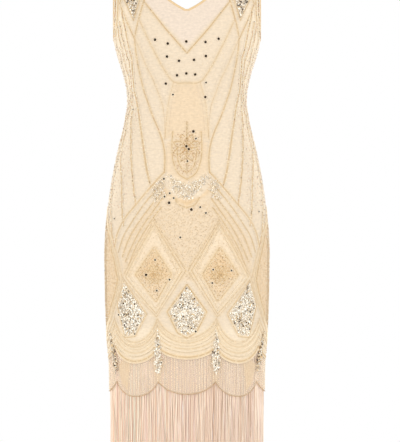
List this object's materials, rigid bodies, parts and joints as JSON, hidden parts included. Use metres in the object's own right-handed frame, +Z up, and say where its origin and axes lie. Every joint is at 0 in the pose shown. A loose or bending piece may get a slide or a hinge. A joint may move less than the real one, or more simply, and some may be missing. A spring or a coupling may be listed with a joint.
{
  "type": "flapper dress",
  "caption": "Sleeveless V-neck beaded net flapper dress, filled out and hollow, with a scalloped sheer hem tier and a long fringe.",
  "frame": {"origin": "midway between the two neck points, at the top of the shoulder seams, where the shoulders of the wearer hold the dress up", "axes": "+Z up along the dress; the front faces -Y; +X is to the wearer's left"},
  "size_m": [0.3446, 0.2424, 1.0986],
  "materials": {
    "beaded_net": "champagne net over a nude lining, worked with gold cord, beads and sequins",
    "gold_binding": "gold beaded binding, soft sheen",
    "sheer_net": "sheer unlined net with a gold beaded edge",
    "fringe": "fine nude fringe strands, silky"
  },
  "bodies": {
    "root": {"front_panel": "beaded_net", "back_panel": "beaded_net", "neck_binding": "gold_binding", "armhole_binding_left": "gold_binding", "armhole_binding_right": "gold_binding", "hem_net_front": "sheer_net", "hem_net_back": "sheer_net", "fringe_front": "fringe", "fringe_back": "fringe"}
  },
  "joints": []
}
